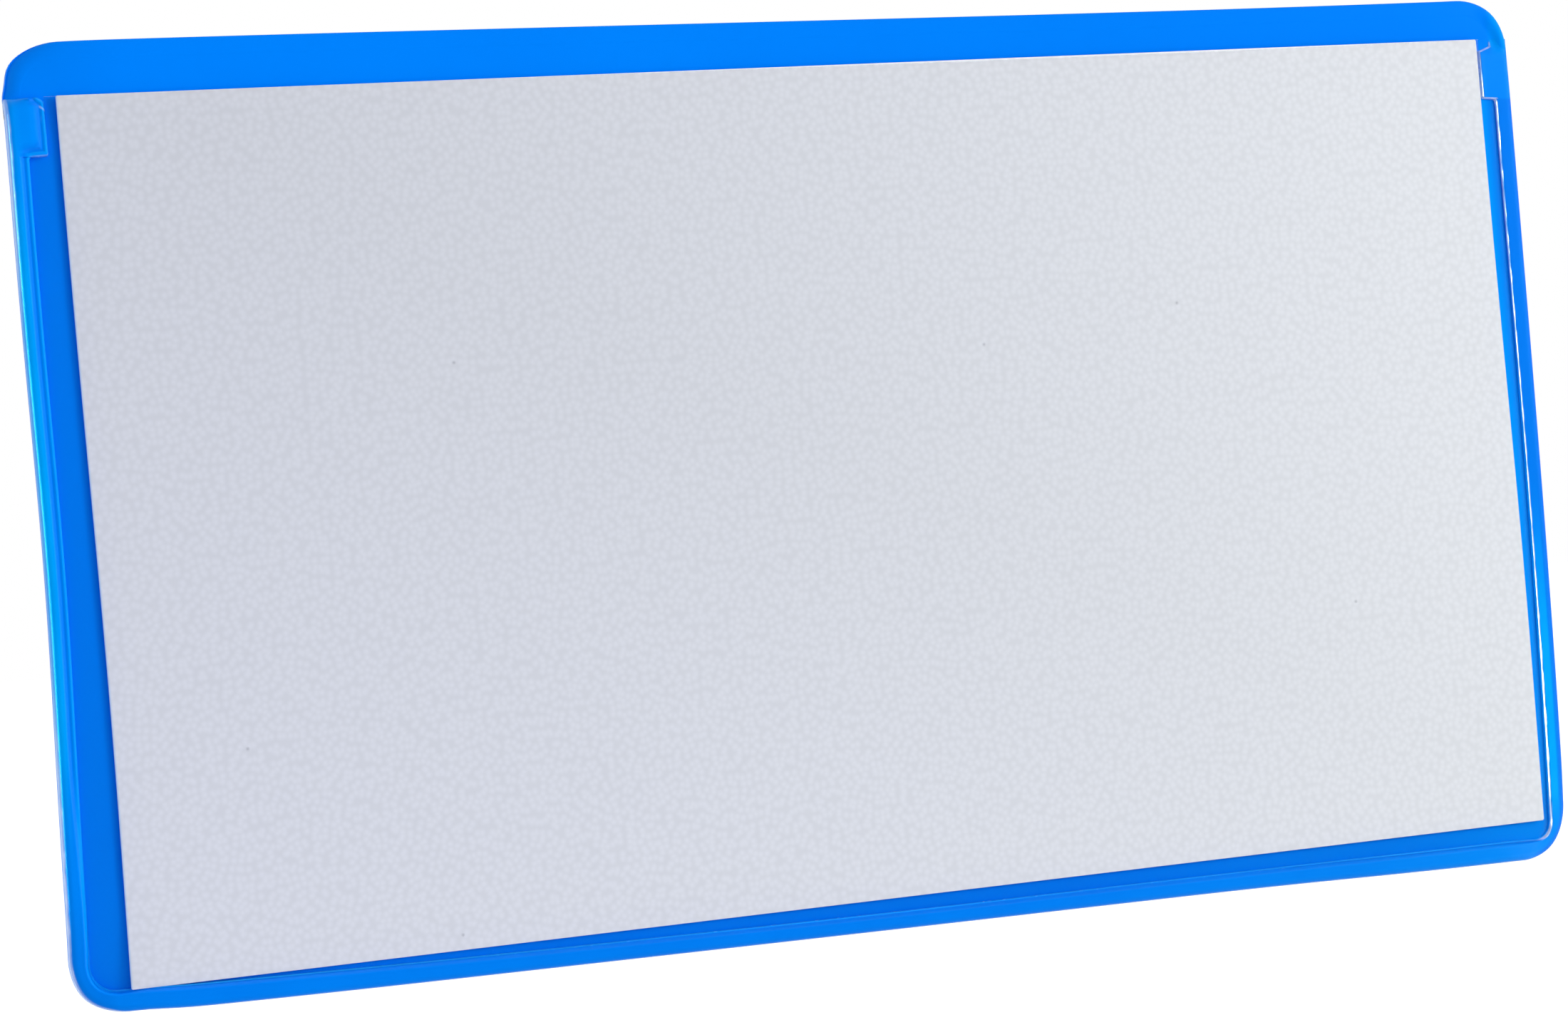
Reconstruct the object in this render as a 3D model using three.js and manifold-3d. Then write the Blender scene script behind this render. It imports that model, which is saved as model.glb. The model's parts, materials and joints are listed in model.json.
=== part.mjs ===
// Magnetic document pocket: a soft blue panel with a clear window welded to its front along the
// two sides and the bottom, a loose sheet inside, and magnetic strips taped to its back.
// Millimetres. Seen from the front, X runs to the right and Z runs up; Y runs from front to back.
// The origin is the middle of the back, in the plane where the strips meet the steel they hold to.
import * as THREE from 'three';
import { mergeVertices } from 'three/addons/utils/BufferGeometryUtils.js';
import Module from 'manifold-3d';

// The sheet, its small turn in the pocket, and the room it has there.
const SHEET_WIDTH = 110;
const SHEET_HEIGHT = 60;
const SHEET_THICKNESS = 0.2;
const SHEET_TURN = THREE.MathUtils.degToRad(0.5);
const SHEET_FACE_PLAY = 0.15;
const SHEET_FOOT_PLAY = 0.3;
const SHEET_LEFT_PLAY = 1;
const SHEET_RIGHT_PLAY = 0.3;

// The back panel.
const PANEL_THICKNESS = 0.5;
const PANEL_CORNER_RADIUS = 4;
const PANEL_EDGE_ROUND = 0.15;

// The clear window, and how far its free top edge lies below the panel's top edge.
const WINDOW_THICKNESS = 0.25;
const WINDOW_CORNER_EASE = 0.5;
const MOUTH_DROP_LEFT = 3.8;
const MOUTH_DROP_RIGHT = 3.1;

// The welded seam round the pocket, and the wider tabs where it ends at the mouth.
const SEAM_WIDTH = 1.4;
const SEAM_INNER_RADIUS = 2;
const SEAM_RISE = 0.15;
const SEAM_CROWN_ROUND = 0.2;
const TAB_REACH = 1;
const TAB_HEIGHT = 4;
const TAB_CORNER_RADIUS = 0.6;

// The magnetic strips and the tape that holds them to the panel.
const STRIP_WIDTH = 15;
const STRIP_THICKNESS = 1;
const STRIP_END_MARGIN = 8;
const STRIP_EDGE_MARGIN = 5;
const TAPE_THICKNESS = 0.15;

// How finely the round corners and edges are divided.
const CORNER_SEGMENTS = 10;
const EDGE_SEGMENTS = 3;

// Widths and heights of the pocket, worked out from the sheet and its room.
const tabWidth = SEAM_WIDTH + TAB_REACH;
const mouthWidth = SHEET_LEFT_PLAY + SHEET_WIDTH / Math.cos(SHEET_TURN) + SHEET_RIGHT_PLAY;
const sheetRise = SHEET_HEIGHT * Math.cos(SHEET_TURN);
const halfWidth = mouthWidth / 2 + tabWidth;
const halfHeight = (SEAM_WIDTH + SHEET_FOOT_PLAY + sheetRise + MOUTH_DROP_LEFT) / 2;
const seamSide = halfWidth - SEAM_WIDTH;
const seamFloor = SEAM_WIDTH - halfHeight;
const tabSide = halfWidth - tabWidth;

// Depths, from the strips' back face towards the front.
const pocketDepth = SHEET_THICKNESS + 2 * SHEET_FACE_PLAY;
const tapeBack = -STRIP_THICKNESS;
const panelBack = tapeBack - TAPE_THICKNESS;
const panelFront = panelBack - PANEL_THICKNESS;
const sheetBack = panelFront - SHEET_FACE_PLAY;
const windowBack = panelFront - pocketDepth;
const seamHeight = pocketDepth + WINDOW_THICKNESS + SEAM_RISE;

const colours = {
  panel: new THREE.MeshStandardMaterial({ color: 0x0181fb, roughness: 0.45, metalness: 0 }),
  seam: new THREE.MeshStandardMaterial({ color: 0x018fff, roughness: 0.3, metalness: 0 }),
  window: new THREE.MeshStandardMaterial({
    color: 0xf2f6fa,
    roughness: 0.35,
    metalness: 0,
    transparent: true,
    opacity: 0.2,
  }),
  sheet: new THREE.MeshStandardMaterial({ color: 0xe6e9f0, roughness: 0.85, metalness: 0 }),
  magnet: new THREE.MeshStandardMaterial({ color: 0x2b2826, roughness: 0.75, metalness: 0 }),
  tape: new THREE.MeshStandardMaterial({ color: 0xe3e0d6, roughness: 0.6, metalness: 0 }),
};

const part = new THREE.Group();

function addPiece(name, geometry, material, x, y, z) {
  const piece = new THREE.Mesh(geometry, material.clone());
  piece.name = name;
  piece.position.set(x, y, z);
  part.add(piece);
  return piece;
}

// Height of the window's free edge above the pocket's middle, which falls a little to the left.
function mouthHeight(x) {
  const share = (x + halfWidth) / (2 * halfWidth);
  return halfHeight - THREE.MathUtils.lerp(MOUTH_DROP_LEFT, MOUTH_DROP_RIGHT, share);
}

// An outline drawn in X and Z becomes a flat solid that grows forwards from its own back plane.
function flatSolid(outline, thickness) {
  const options = { depth: thickness, bevelEnabled: false, curveSegments: CORNER_SEGMENTS };
  return new THREE.ExtrudeGeometry(outline, options).rotateX(Math.PI / 2);
}

// The same, with every edge of its two faces rounded inwards.
function roundedSolid(outline, thickness, edgeRound) {
  const options = {
    depth: thickness - 2 * edgeRound,
    bevelThickness: edgeRound,
    bevelSize: edgeRound,
    bevelOffset: -edgeRound,
    bevelSegments: EDGE_SEGMENTS,
    curveSegments: CORNER_SEGMENTS,
  };
  return new THREE.ExtrudeGeometry(outline, options).translate(0, 0, edgeRound).rotateX(Math.PI / 2);
}

const wasm = await Module();
wasm.setup();

function toSolid(geometry) {
  const bare = geometry.clone();
  bare.deleteAttribute('normal');
  bare.deleteAttribute('uv');
  const merged = mergeVertices(bare);
  const vertProperties = new Float32Array(merged.attributes.position.array);
  const triVerts = new Uint32Array(merged.index.array);
  return new wasm.Manifold(new wasm.Mesh({ numProp: 3, vertProperties, triVerts }));
}

function toGeometry(solid) {
  const mesh = solid.getMesh();
  const geometry = new THREE.BufferGeometry();
  geometry.setAttribute('position', new THREE.BufferAttribute(mesh.vertProperties, mesh.numProp));
  geometry.setIndex(new THREE.BufferAttribute(mesh.triVerts, 1));
  geometry.computeVertexNormals();
  return geometry;
}

// Back panel: a rectangle with round corners, drawn anticlockwise from the bottom left.
function panelOutline() {
  const r = PANEL_CORNER_RADIUS;
  const x = halfWidth - r;
  const z = halfHeight - r;
  const outline = new THREE.Shape();
  outline.absarc(-x, -z, r, Math.PI, 1.5 * Math.PI);
  outline.absarc(x, -z, r, 1.5 * Math.PI, 2 * Math.PI);
  outline.absarc(x, z, r, 0, 0.5 * Math.PI);
  outline.absarc(-x, z, r, 0.5 * Math.PI, Math.PI);
  outline.closePath();
  return outline;
}

// Half the width of the panel's flat front face at a height near the top, where its corners turn in.
function flatSide(z) {
  const rise = Math.max(0, z - halfHeight + PANEL_CORNER_RADIUS);
  const radius = PANEL_CORNER_RADIUS - PANEL_EDGE_ROUND;
  return halfWidth - PANEL_CORNER_RADIUS + Math.sqrt(radius * radius - rise * rise);
}

function tabFoot(x) {
  return mouthHeight(x) - TAB_HEIGHT;
}

// Seam: one band down the left side, along the bottom and up the right side. It lies on the flat of
// the panel's face, inside the rounded edge, and widens to a tab at each end of the mouth.
function seamOutline() {
  const shoulder = halfHeight - PANEL_CORNER_RADIUS;
  const outerSide = halfWidth - PANEL_EDGE_ROUND;
  const outerRadius = PANEL_CORNER_RADIUS - PANEL_EDGE_ROUND;
  const outerX = halfWidth - PANEL_CORNER_RADIUS;
  const leftEnd = mouthHeight(-outerSide);
  const rightEnd = mouthHeight(outerSide);
  const leftTab = mouthHeight(-tabSide);
  const rightTab = mouthHeight(tabSide);
  const tabArcX = tabSide + TAB_CORNER_RADIUS;
  const innerX = seamSide - SEAM_INNER_RADIUS;
  const innerZ = seamFloor + SEAM_INNER_RADIUS;
  const outline = new THREE.Shape();
  outline.moveTo(-flatSide(leftEnd), leftEnd);
  outline.lineTo(-outerSide, Math.min(leftEnd, shoulder));
  outline.absarc(-outerX, -shoulder, outerRadius, Math.PI, 1.5 * Math.PI);
  outline.absarc(outerX, -shoulder, outerRadius, 1.5 * Math.PI, 2 * Math.PI);
  outline.lineTo(outerSide, Math.min(rightEnd, shoulder));
  outline.lineTo(flatSide(rightEnd), rightEnd);
  outline.lineTo(tabArcX, mouthHeight(tabArcX));
  outline.quadraticCurveTo(tabSide, rightTab, tabSide, rightTab - TAB_CORNER_RADIUS);
  outline.lineTo(tabSide, tabFoot(tabSide));
  outline.lineTo(seamSide, tabFoot(tabSide));
  outline.absarc(innerX, innerZ, SEAM_INNER_RADIUS, 0, 1.5 * Math.PI, true);
  outline.absarc(-innerX, innerZ, SEAM_INNER_RADIUS, 1.5 * Math.PI, Math.PI, true);
  outline.lineTo(-seamSide, tabFoot(-tabSide));
  outline.lineTo(-tabSide, tabFoot(-tabSide));
  outline.lineTo(-tabSide, leftTab - TAB_CORNER_RADIUS);
  outline.quadraticCurveTo(-tabSide, leftTab, -tabArcX, mouthHeight(-tabArcX));
  outline.closePath();
  return outline;
}

// The seam's crown is rounded, and its back is cut flat where it is fused to the panel.
function seamSolid() {
  const body = roundedSolid(seamOutline(), seamHeight + SEAM_CROWN_ROUND, SEAM_CROWN_ROUND);
  const keep = new THREE.BoxGeometry(2 * halfWidth, seamHeight, 2 * halfHeight);
  keep.translate(0, -seamHeight / 2, 0);
  const solid = toSolid(body.translate(0, SEAM_CROWN_ROUND, 0));
  return toGeometry(solid.intersect(toSolid(keep)));
}

// Window: fills the space inside the seam, notched round the tabs, with its top edge free.
function windowOutline() {
  const r = SEAM_INNER_RADIUS + WINDOW_CORNER_EASE;
  const x = seamSide - r;
  const z = seamFloor + r;
  const outline = new THREE.Shape();
  outline.absarc(-x, z, r, Math.PI, 1.5 * Math.PI);
  outline.absarc(x, z, r, 1.5 * Math.PI, 2 * Math.PI);
  outline.lineTo(seamSide, tabFoot(tabSide));
  outline.lineTo(tabSide, tabFoot(tabSide));
  outline.lineTo(tabSide, mouthHeight(tabSide));
  outline.lineTo(-tabSide, mouthHeight(-tabSide));
  outline.lineTo(-tabSide, tabFoot(-tabSide));
  outline.lineTo(-seamSide, tabFoot(-tabSide));
  outline.closePath();
  return outline;
}

// Sheet: its top left corner lies at the mouth, and it is turned about that corner.
function addSheet() {
  const along = new THREE.Vector2(Math.cos(SHEET_TURN), Math.sin(SHEET_TURN));
  const corner = new THREE.Vector2(SHEET_LEFT_PLAY - tabSide, seamFloor + SHEET_FOOT_PLAY + sheetRise);
  const x = corner.x + along.x * (SHEET_WIDTH / 2) + along.y * (SHEET_HEIGHT / 2);
  const z = corner.y + along.y * (SHEET_WIDTH / 2) - along.x * (SHEET_HEIGHT / 2);
  const body = new THREE.BoxGeometry(SHEET_WIDTH, SHEET_THICKNESS, SHEET_HEIGHT);
  const sheet = addPiece('insert_sheet', body, colours.sheet, x, sheetBack - SHEET_THICKNESS / 2, z);
  sheet.rotation.y = -SHEET_TURN;
}

// Magnetic strips, one near the top edge and one near the bottom, each with its tape.
function addStrip(place, side) {
  const length = 2 * (halfWidth - STRIP_END_MARGIN);
  const z = side * (halfHeight - STRIP_EDGE_MARGIN - STRIP_WIDTH / 2);
  const strip = new THREE.BoxGeometry(length, STRIP_THICKNESS, STRIP_WIDTH);
  const tape = new THREE.BoxGeometry(length, TAPE_THICKNESS, STRIP_WIDTH);
  addPiece(`magnet_strip_${place}`, strip, colours.magnet, 0, -STRIP_THICKNESS / 2, z);
  addPiece(`adhesive_tape_${place}`, tape, colours.tape, 0, tapeBack - TAPE_THICKNESS / 2, z);
}

const panelSolid = roundedSolid(panelOutline(), PANEL_THICKNESS, PANEL_EDGE_ROUND);
addPiece('back_panel', panelSolid, colours.panel, 0, panelBack, 0);
addPiece('weld_seam', seamSolid(), colours.seam, 0, panelFront, 0);
addPiece('front_window', flatSolid(windowOutline(), WINDOW_THICKNESS), colours.window, 0, windowBack, 0);
addSheet();
addStrip('upper', 1);
addStrip('lower', -1);

export default part;
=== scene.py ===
"""Looks of the magnetic document pocket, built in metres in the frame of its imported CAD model."""
import json
import math
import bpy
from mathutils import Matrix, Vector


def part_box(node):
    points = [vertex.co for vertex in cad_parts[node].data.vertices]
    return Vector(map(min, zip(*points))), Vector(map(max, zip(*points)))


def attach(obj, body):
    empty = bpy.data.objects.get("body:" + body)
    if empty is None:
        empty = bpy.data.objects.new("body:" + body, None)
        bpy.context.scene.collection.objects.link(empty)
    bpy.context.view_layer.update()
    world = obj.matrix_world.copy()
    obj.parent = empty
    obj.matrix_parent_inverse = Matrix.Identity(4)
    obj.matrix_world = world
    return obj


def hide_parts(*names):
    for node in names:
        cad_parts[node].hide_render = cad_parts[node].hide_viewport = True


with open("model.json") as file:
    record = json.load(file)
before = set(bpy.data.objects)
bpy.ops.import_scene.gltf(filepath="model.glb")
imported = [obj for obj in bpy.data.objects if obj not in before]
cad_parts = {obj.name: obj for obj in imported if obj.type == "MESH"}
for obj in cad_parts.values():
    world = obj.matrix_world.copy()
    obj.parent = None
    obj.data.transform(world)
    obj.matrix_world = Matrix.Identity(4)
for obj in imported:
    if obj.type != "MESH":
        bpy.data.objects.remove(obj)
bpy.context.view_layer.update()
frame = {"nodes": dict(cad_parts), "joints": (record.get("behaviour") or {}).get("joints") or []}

from types import SimpleNamespace

import bmesh
import bpy
import numpy as np
from mathutils import Quaternion, Vector

MM = 0.001


def mm(*lengths):
    """Lengths in millimetres, as metres."""
    return tuple(length * MM for length in lengths)


# Places read from the frame
PANEL_LOW, PANEL_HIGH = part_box("back_panel")
SHEET_LOW, SHEET_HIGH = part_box("insert_sheet")
HALF_WIDTH = PANEL_HIGH.x
HALF_HEIGHT = PANEL_HIGH.z
PANEL_REAR = PANEL_HIGH.y
PANEL_FRONT = PANEL_LOW.y
SLIDE_AXIS = Vector(frame["joints"][0]["axis"])

# Panel film: a rounded lip on its bare border, a rear edge that is thinner where it is welded
CORNER_RADIUS = 4 * MM
LIP_WIDTH = 1.2 * MM
LIP_DROP = 0.22 * MM
LIP_DROP_LEFT = 0.8 * MM
LIP_DROP_RUN = mm(0.3, 5)
LIP_LINE_DEPTH = 0.008 * MM
LIP_LINE_REACH = 0.08 * MM
BARE_RUN = mm(-1.2, 0.5)
REAR_EASE_WIDTH = 0.45 * MM
REAR_EASE_BARE = 0.1 * MM
REAR_EASE_WELDED = 0.32 * MM
PANEL_CELLS = (90, 48)
PANEL_REAR_RINGS = mm(0, 0.03, 0.08, 0.15, 0.24, 0.34, 0.45, 0.8, 1.6, 2.8, 4)
PANEL_FRONT_RINGS = mm(0, 0.02, 0.06, 0.12, 0.2, 0.3, 0.42, 0.55, 0.7, 0.85, 1)
PANEL_FRONT_RINGS += mm(1.06, 1.1, 1.15, 1.2, 1.26, 1.4, 1.9, 2.8, 4)

# The right bead runs out on the panel's border over the mouth
RUN_OUT_RISE = 0.3 * MM
RUN_OUT_LENGTH = 4.6 * MM
RUN_OUT_START = mm(-1.6, -0.6)
RUN_OUT_CREST = 0.35 * MM
RUN_OUT_SIDE = (0.95 * HALF_WIDTH, 0.99 * HALF_WIDTH)

# Weld seam: its inner step, ridge, groove, bead and outer shoulder
SEAM_WIDTH = 1.4 * MM
SEAM_SPREAD = 0.2 * MM
SPREAD_LEFT = mm(-54, -20)
SPREAD_RIGHT = mm(25, 54)
SEAM_PINCH = 0.1 * MM
PINCH_REACH = 18 * MM
SIDE_SHAPE = mm(2, 5)
STEP_WIDTH = 0.07 * MM
STEP_RISE = 0.32 * MM
STEP_RISE_RIGHT = 0.14 * MM
RIDGE_RISE = 0.2 * MM
RIDGE_PLACE = 0.24 * MM
RIDGE_REACH = 0.18 * MM
GROOVE_BASE = 0.2
GROOVE_LEFT = 0.6
GROOVE_RUN = mm(-27, -14)
BEAD_RISE = 0.36 * MM
BEAD_START = 0.4 * MM
BEAD_END = 0.92 * MM
BEAD_RUN = 0.34 * MM
BEAD_RISE_RIGHT = 0.2 * MM
BEAD_RUN_RIGHT = 0.24 * MM
BEAD_SIZE_RIGHT = 0.65
BEAD_GROWTH_RIGHT = 0.4
SHOULDER_WIDTH = 0.5 * MM
SHOULDER_FALL = 0.35
EDGE_ROUND = 0.13 * MM
EDGE_BASE = 0.3
MOUTH_CUT_WIDTH = 0.2 * MM
MOUTH_CUT_GROWTH = 3
MOUTH_CUT_SHARE = 0.4
MOUTH_OUTSIDE = mm(0.8, 1.5)
FADE_LENGTH = 1.3 * MM
FADE_BASE = 0.08
FADE_CREST = 0.85
SEAM_SINK = 0.02 * MM
# By side, left -1 and right 1: the inner corner's radius, the tab's reach, height and foot radius, and
# how its top inner corner is cut: how far across, where it starts below the mouth, over what height
INNER_RADIUS = {-1: 2 * MM, 1: 1.4 * MM}
TAB_REACH = {-1: 1.3 * MM, 1: 1.15 * MM}
TAB_HEIGHT = {-1: 4.03 * MM, 1: 4.5 * MM}
TAB_FOOT_RADIUS = {-1: 0.22 * MM, 1: 0.28 * MM}
TAB_CUT = {-1: mm(0.35, 0.3, 0.3), 1: mm(1.05, 0.85, 0.35)}
# Rows of points along the seam, below the mouth, about the tab's foot and elsewhere
MOUTH_ROWS = np.concatenate([[0, 0.02, 0.05, 0.09, 0.14], np.linspace(0.2, 1.16, 25)]) * MM
FOOT_ROWS = np.linspace(-0.5, 0.5, 41) * MM
PLAIN_ROW_STEP = 0.4 * MM
CLEAR_OF_CORNER = 0.3 * MM
CLEAR_OF_MOUTH = 1.3 * MM
CLEAR_OF_FOOT = 0.55 * MM
BOTTOM_ROWS = np.arange(-53, 53.01, 1.0) * MM
# Points across the seam, from its inner edge, between, and from its outer edge
INNER_COLUMNS = np.array(
    [0, 0.008, 0.025, 0.045, 0.07, 0.1, 0.13, 0.16, 0.19, 0.22]
    + [0.26, 0.31, 0.36, 0.42, 0.49, 0.56, 0.64]
) * MM
MIDDLE_COLUMNS = 3
OUTER_COLUMNS = np.array([0.6, 0.5, 0.42, 0.34, 0.27, 0.21, 0.16, 0.12, 0.09, 0.06, 0.035, 0.015, 0]) * MM

# Window film: it dips at its border and waves a little; a wave is its length and its seed
WINDOW_OVERLAP = 0.05 * MM
WINDOW_THICKNESS = 0.15 * MM
WINDOW_PLAY = 0.08 * MM
ROLL = 0.2 * MM
ROLL_RIGHT = 0.36 * MM
ROLL_REACH = 0.45 * MM
ROLL_REACH_RIGHT = 1.0 * MM
ROLL_REACH_TAB = 0.4 * MM
WINDOW_TAB_RUN = mm(-1.0, -0.2)
WINDOW_WAVE = 0.02 * MM
WINDOW_WAVE_ACROSS = (34 * MM, 5)
WINDOW_WAVE_UP = (41 * MM, 6)
WINDOW_CUT_TONE = 0.04

# Sheet, magnets and tape
SHEET_CORNER = 0.15 * MM
SHEET_THICKNESS = 0.2 * MM
SHEET_SINK = 0.06 * MM
SHEET_EDGE_EASE = 0.04 * MM
SHEET_EDGE_LEAN = 0.14 * MM
SHEET_BOW = 0.25 * MM
SHEET_BOW_PLACE = mm(-11, 20)
SHEET_CELLS = (88, 48)
SHEET_RINGS = mm(0, 0.006, 0.016, 0.03, 0.04, 0.15)
STRIP_CORNER = 0.5 * MM
STRIP_EDGE_EASE = 0.12 * MM
STRIP_LINE_PITCH = 1.5 * MM
STRIP_LINE_DEPTH = 0.02 * MM
STRIP_CELLS = (60, 84)
STRIP_RINGS = mm(0, 0.015, 0.04, 0.08, 0.12, 0.25, 0.5)
TAPE_CORNER = 0.5 * MM
TAPE_EDGE_EASE = 0.04 * MM
TAPE_RAGGED = 0.12 * MM
TAPE_WAVE_ALONG = 23 * MM
TAPE_WAVE_ACROSS = 9 * MM
TAPE_SEED = 20
TAPE_CELLS = (120, 30)
TAPE_RINGS = mm(0, 0.015, 0.04, 0.12, 0.25, 0.5)

# Soft shape of the films: each corner's shift across, shift up and curl backwards
SOFT_CORNERS = {
    (-1, 1): mm(-0.06, -0.1, 1.0),
    (1, 1): mm(0, 0.22, 0.4),
    (1, -1): mm(-0.25, -0.2, 0.5),
    (-1, -1): mm(0.06, 0.2, 0.9),
}
# Bulges of the outline: place, reach, shift across and up
SOFT_BULGES = [
    mm(-57.4, 31.4, 1.8, -0.08, 0.16),
    mm(-58.0, 29.9, 1.0, 0.2, 0),
    mm(57.2, 31.9, 2.2, 0.2, 0.2),
    mm(45, 32.7, 20, 0, 0.07),
    mm(57.2, -31.9, 2.0, 0.16, -0.16),
    mm(46, -32.7, 12, 0, -0.13),
    mm(8, -32.7, 45, 0, -0.07),
    mm(-57.2, -31.9, 1.8, -0.12, -0.12),
    mm(-53.5, -32.7, 2.5, 0, 0.14),
    mm(-58, -3.8, 14.5, 0.33, 0),
    mm(58, -3, 28, 0.19, 0),
]
SHIFT_REACH = 28 * MM
CURL_REACH = 8 * MM
WINDOW_CURL_SHARE = 0.5

# Mesh fineness
ARC_STEPS = 14
MERGE_DISTANCE = 1e-4 * MM
SHARP_ANGLE = 35
RIPPLE_OCTAVES = (1.0, 1.7, 2.9)
RIPPLE_PEAK = 1.9

# Camera, with its focal length in the photograph's pixels
CAMERA_AZIMUTH = -21.868
CAMERA_ELEVATION = -0.627
CAMERA_ROLL = -4.384
CAMERA_DISTANCE = 299.476 * MM
CAMERA_AIM = Vector(mm(-4.584, -2.0, -2.042))
CAMERA_CLIP = 10 * MM
SENSOR_WIDTH = 36.0
FOCAL_PIXELS = 5900
FRAME_PIXELS = 2200

# Studio
FLOOR_DROP = 42 * MM
FLOOR_RADIUS = 4.0
FLOOR_SEGMENTS = 96
FLOOR_TONE = (0.86, 0.86, 0.86, 1.0)
FLOOR_GLOW = 0.58
WORLD_TONE = (0.97, 0.98, 1.0, 1.0)
WORLD_FILL = 0.7
WORLD_GRADE = 0.26
KEY_LAMP = {"place": (0.3, -0.22, 0.09), "aim": (0, 0, 0), "size": (0.2, 0.2), "power": 1.0}
KEY_COLOUR = (1.0, 0.99, 0.97)
EDGE_LAMP = {"place": (-0.6, 0.12, 0.0), "aim": (-0.058, 0, 0), "size": (0.2, 0.5), "power": 0.7}
GLINT_LAMP = {"place": (-0.9, -0.25, 0.05), "aim": (0, 0, 0), "size": (0.3, 0.8), "power": 26}


def smooth(start, end, value):
    """0 before start, 1 after end, eased between them."""
    t = np.clip((value - start) / (end - start), 0, 1)
    return t * t * (3 - 2 * t)


def band(value, start, end, soft):
    """1 between start and end, eased to 0 over soft on both sides."""
    return smooth(start - soft, start, value) * (1 - smooth(end, end + soft, value))


def highest(*shares):
    """The greatest of several shares at each point."""
    return np.maximum.reduce(shares)


def bell(value, place, reach):
    """1 at a place, falling off smoothly over a reach."""
    return np.exp(-(((value - place) / reach) ** 2))


def round_over(gap, width, depth):
    """Drop of a rounded border, from depth at its rim to nothing at width from the rim."""
    t = 1 - np.clip(gap / width, 0, 1)
    return depth * (1 - np.sqrt(1 - t * t))


def quarter_round(value):
    """0 to 1 along a quarter circle, upright at its start."""
    return np.sqrt(1 - (1 - np.clip(value, 0, 1)) ** 2)


def ripple(along, wavelength, seed):
    """Slow irregular wave between about -1 and 1."""
    rng = np.random.default_rng(seed)
    total = np.zeros_like(along)
    for octave in RIPPLE_OCTAVES:
        turn = 2 * math.pi * octave / wavelength
        total = total + np.sin(turn * along + rng.uniform(0, 2 * math.pi)) / octave
    return total / RIPPLE_PEAK


def joined(*stretches):
    """Rising values over several stretches, each given as its start, end and count."""
    return np.unique(np.concatenate([np.linspace(*stretch) for stretch in stretches]))


def seam_end(side):
    """Height of the seam's end at the left (-1) or right (1) of the mouth."""
    return max(v.co.z for v in frame["nodes"]["weld_seam"].data.vertices if v.co.x * side > 0)


MOUTH = {side: seam_end(side) for side in (-1, 1)}


def mouth_height(x):
    """Height of the window's free edge."""
    share = (x + HALF_WIDTH) / (2 * HALF_WIDTH)
    return MOUTH[-1] + (MOUTH[1] - MOUTH[-1]) * share


def sides(x, near, far):
    """Shares of the left and right borders, whole within near of the rim and gone beyond far."""
    return 1 - smooth(near, far, x + HALF_WIDTH), smooth(-far, -near, x - HALF_WIDTH)


def soften(points, curl_share=1.0):
    """Moves film points by the pocket's soft shape: corners shift a little and curl back."""
    moved = points.copy()
    for (side, level), (across, up, back) in SOFT_CORNERS.items():
        gap = np.hypot(points[:, 0] - side * HALF_WIDTH, points[:, 2] - level * HALF_HEIGHT)
        shift = np.clip(1 - gap / SHIFT_REACH, 0, 1) ** 2
        curl = np.clip(1 - gap / CURL_REACH, 0, 1) ** 2
        moved[:, 0] += across * shift
        moved[:, 1] += back * curl * curl_share
        moved[:, 2] += up * shift
    for x, z, reach, across, up in SOFT_BULGES:
        share = bell(np.hypot(points[:, 0] - x, points[:, 2] - z), 0, reach)
        moved[:, 0] += across * share
        moved[:, 2] += up * share
    return moved


def outline(half_w, half_h, radius, inset, cells):
    """Closed ring of (x, z) points, inset in a rounded rectangle, from its lower left arc."""
    columns, rows = cells
    arcs = []
    for side, level, start in ((-1, -1, 180), (1, -1, 270), (1, 1, 0), (-1, 1, 90)):
        turn = np.radians(np.linspace(start, start + 90, ARC_STEPS + 1))
        centre = np.array([side * (half_w - radius), level * (half_h - radius)])
        arcs.append(centre + (radius - inset) * np.c_[np.cos(turn), np.sin(turn)])
    points = []
    for arc, following, count in zip(arcs, arcs[1:] + arcs[:1], (columns, rows, columns, rows)):
        share = np.arange(1, count)[:, None] / count
        points += [arc, arc[-1] + share * (following[0] - arc[-1])]
    return np.concatenate(points)


def strips_of_faces(rings, count, closed):
    """Quads between consecutive rows of points, each row count points long."""
    faces = []
    for ring in range(rings - 1):
        for i in range(count if closed else count - 1):
            j = (i + 1) % count
            low, high = ring * count, (ring + 1) * count
            faces.append((low + i, low + j, high + j, high + i))
    return faces


def slab(half_w, half_h, radius, cells, rear, front, depth):
    """Points and faces of a closed slab with round corners.

    rear and front list the insets of the rings of points from the rim to the corner radius, and
    depth(x, z, inset, side) gives y on the rear (1) or front (-1) side.
    """
    columns, rows = cells
    rings = [(inset, 1) for inset in reversed(rear)] + [(inset, -1) for inset in front]
    points = []
    for inset, side in rings:
        x, z = outline(half_w, half_h, radius, inset, cells).T
        points.append(np.c_[x, np.broadcast_to(depth(x, z, inset, side), x.shape), z])
    count = len(points[0])
    faces = strips_of_faces(len(rings), count, True)
    x, z = np.meshgrid(
        np.linspace(radius - half_w, half_w - radius, columns + 1),
        np.linspace(radius - half_h, half_h - radius, rows + 1),
    )
    x, z = x.ravel(), z.ravel()
    for side in (1, -1):
        base = sum(len(p) for p in points)
        points.append(np.c_[x, np.broadcast_to(depth(x, z, radius, side), x.shape), z])
        grid = strips_of_faces(rows + 1, columns + 1, False)
        faces += [tuple(base + i for i in face) for face in grid]
    return np.concatenate(points), faces


def show(name, data):
    """A new object in the scene."""
    item = bpy.data.objects.new(name, data)
    bpy.context.scene.collection.objects.link(item)
    return item


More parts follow.
